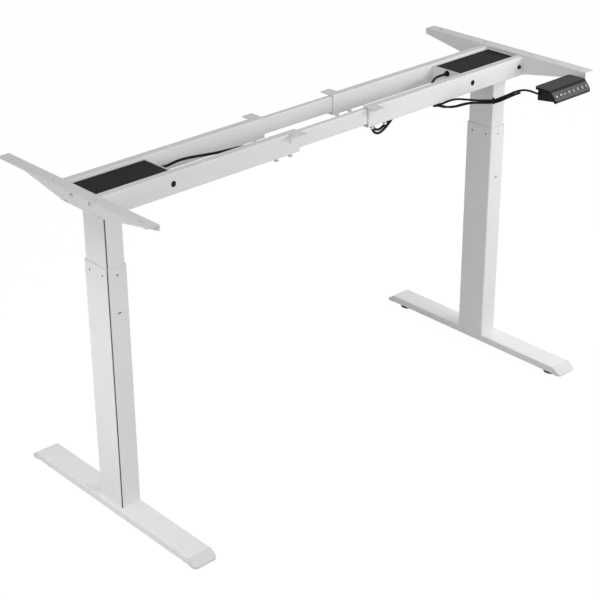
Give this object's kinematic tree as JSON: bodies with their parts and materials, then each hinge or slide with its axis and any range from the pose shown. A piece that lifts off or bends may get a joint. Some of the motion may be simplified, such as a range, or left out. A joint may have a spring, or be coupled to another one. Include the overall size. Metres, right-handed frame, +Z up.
{
  "type": "standing desk frame",
  "caption": "Height-adjustable desk frame: telescoping beam with end brackets on motorised telescoping legs with T feet and a wired handset.",
  "frame": {"origin": "centre of the box's underside, on the floor, midway between the legs and the feet's tips", "axes": "+X along the beam to the right leg, -Y to the front where the handset is, +Z up"},
  "size_m": [1.328, 0.6, 0.783],
  "materials": {
    "white_paint": "smooth semi-gloss white powder coat",
    "black_sheet": "satin black powder coat",
    "cast_alloy": "bare die-cast alloy",
    "motor_can": "drawn steel can",
    "bare_steel": "bare turned steel",
    "zinc_screw": "zinc-plated steel",
    "white_plastic": "fine matt white moulding",
    "natural_plastic": "natural low-friction plastic",
    "black_plastic": "fine matt black moulding",
    "black_rubber": "matt black rubber",
    "panel_gloss": "satin dark grey panel",
    "cord_jacket": "smooth black cable jacket"
  },
  "bodies": {
    "centre_beam": {"front_centre_rail": "white_paint", "rear_centre_rail": "white_paint", "motor_lead": "cord_jacket", "link_cable": "cord_jacket", "cable_coupler": "black_plastic"},
    "left_end": {"left_front_rail": "white_paint", "left_rear_rail": "white_paint", "left_motor_tray": "white_paint", "left_motor_cover": "black_sheet", "left_gearbox": "cast_alloy", "left_motor": "motor_can", "left_bracket": "white_paint", "left_screws": "zinc_screw", "left_rail_plugs": "black_rubber", "left_cable_boot": "black_rubber", "left_inner_tube": "white_paint"},
    "left_leg": {"left_outer_tube": "white_paint", "left_glide_insert": "white_plastic", "left_nut_pipe": "bare_steel", "left_spindle_nut": "natural_plastic", "left_foot": "white_paint", "left_foot_caps": "white_plastic", "left_foot_screws": "zinc_screw"},
    "left_screw_drive": {"left_spindle": "bare_steel"},
    "left_front_foot_pad": {"left_front_leveller": "black_plastic"},
    "left_rear_foot_pad": {"left_rear_leveller": "black_plastic"},
    "right_end": {"right_front_rail": "white_paint", "right_rear_rail": "white_paint", "right_motor_tray": "white_paint", "right_motor_cover": "black_sheet", "right_gearbox": "cast_alloy", "right_motor": "motor_can", "right_bracket": "white_paint", "right_screws": "zinc_screw", "right_rail_plugs": "black_rubber", "right_cable_boot": "black_rubber", "right_inner_tube": "white_paint", "control_unit": "black_plastic", "handset_case": "black_plastic", "handset_panel": "panel_gloss", "handset_cord": "cord_jacket", "cord_tie": "black_plastic", "handset_grommet": "black_rubber"},
    "right_leg": {"right_outer_tube": "white_paint", "right_glide_insert": "white_plastic", "right_nut_pipe": "bare_steel", "right_spindle_nut": "natural_plastic", "right_foot": "white_paint", "right_foot_caps": "white_plastic", "right_foot_screws": "zinc_screw"},
    "right_screw_drive": {"right_spindle": "bare_steel"},
    "right_front_foot_pad": {"right_front_leveller": "black_plastic"},
    "right_rear_foot_pad": {"right_rear_leveller": "black_plastic"},
    "up_key": {"up_key": "panel_gloss"},
    "down_key": {"down_key": "panel_gloss"},
    "memory_key": {"memory_key": "panel_gloss"},
    "preset_key_1": {"preset_key_1": "panel_gloss"},
    "preset_key_2": {"preset_key_2": "panel_gloss"},
    "preset_key_3": {"preset_key_3": "panel_gloss"},
    "preset_key_4": {"preset_key_4": "panel_gloss"}
  },
  "joints": [
    {"name": "left_width", "type": "slide", "parent": "left_end", "child": "centre_beam", "axis": [1, 0, 0], "range_m": [-0.1, 0.13], "deforming": ["motor_lead"]},
    {"name": "right_width", "type": "slide", "parent": "centre_beam", "child": "right_end", "axis": [1, 0, 0], "range_m": [-0.1, 0.13], "deforming": ["link_cable"]},
    {"name": "left_lift", "type": "slide", "parent": "left_leg", "child": "left_end", "axis": [0, 0, 1], "range_m": [-0.095, 0.355]},
    {"name": "right_lift", "type": "slide", "parent": "right_end", "child": "right_leg", "axis": [0, 0, -1], "range_m": [-0.095, 0.355]},
    {"name": "left_spindle_turn", "type": "hinge", "parent": "left_end", "child": "left_screw_drive", "pos_m": [-0.586, 0, 0.7], "axis": [0, 0, 1], "range_deg": [-4320, 16200]},
    {"name": "right_spindle_turn", "type": "hinge", "parent": "right_end", "child": "right_screw_drive", "pos_m": [0.586, 0, 0.7], "axis": [0, 0, 1], "range_deg": [-4320, 16200]},
    {"name": "left_front_level", "type": "slide", "parent": "left_leg", "child": "left_front_foot_pad", "axis": [0, 0, -1], "range_m": [-0.006, 0.005]},
    {"name": "left_rear_level", "type": "slide", "parent": "left_leg", "child": "left_rear_foot_pad", "axis": [0, 0, -1], "range_m": [-0.006, 0.005]},
    {"name": "right_front_level", "type": "slide", "parent": "right_leg", "child": "right_front_foot_pad", "axis": [0, 0, -1], "range_m": [-0.006, 0.005]},
    {"name": "right_rear_level", "type": "slide", "parent": "right_leg", "child": "right_rear_foot_pad", "axis": [0, 0, -1], "range_m": [-0.006, 0.005]},
    {"name": "up_key_press", "type": "slide", "parent": "right_end", "child": "up_key", "axis": [0, 0.7593, -0.6508], "range_m": [0, 0.0005], "stiffness_N_per_m": 900, "springref_m": -0.0012},
    {"name": "down_key_press", "type": "slide", "parent": "right_end", "child": "down_key", "axis": [0, 0.7593, -0.6508], "range_m": [0, 0.0005], "stiffness_N_per_m": 900, "springref_m": -0.0012},
    {"name": "memory_key_press", "type": "slide", "parent": "right_end", "child": "memory_key", "axis": [0, 0.7593, -0.6508], "range_m": [0, 0.0005], "stiffness_N_per_m": 900, "springref_m": -0.0012},
    {"name": "preset_key_1_press", "type": "slide", "parent": "right_end", "child": "preset_key_1", "axis": [0, 0.7593, -0.6508], "range_m": [0, 0.0005], "stiffness_N_per_m": 900, "springref_m": -0.0012},
    {"name": "preset_key_2_press", "type": "slide", "parent": "right_end", "child": "preset_key_2", "axis": [0, 0.7593, -0.6508], "range_m": [0, 0.0005], "stiffness_N_per_m": 900, "springref_m": -0.0012},
    {"name": "preset_key_3_press", "type": "slide", "parent": "right_end", "child": "preset_key_3", "axis": [0, 0.7593, -0.6508], "range_m": [0, 0.0005], "stiffness_N_per_m": 900, "springref_m": -0.0012},
    {"name": "preset_key_4_press", "type": "slide", "parent": "right_end", "child": "preset_key_4", "axis": [0, 0.7593, -0.6508], "range_m": [0, 0.0005], "stiffness_N_per_m": 900, "springref_m": -0.0012}
  ],
  "couplings": [
    {"joint": "right_lift", "follows": "left_lift", "ratio": 1},
    {"joint": "left_spindle_turn", "follows": "left_lift", "rad_per_m": 785.4},
    {"joint": "right_spindle_turn", "follows": "left_lift", "rad_per_m": 785.4}
  ]
}
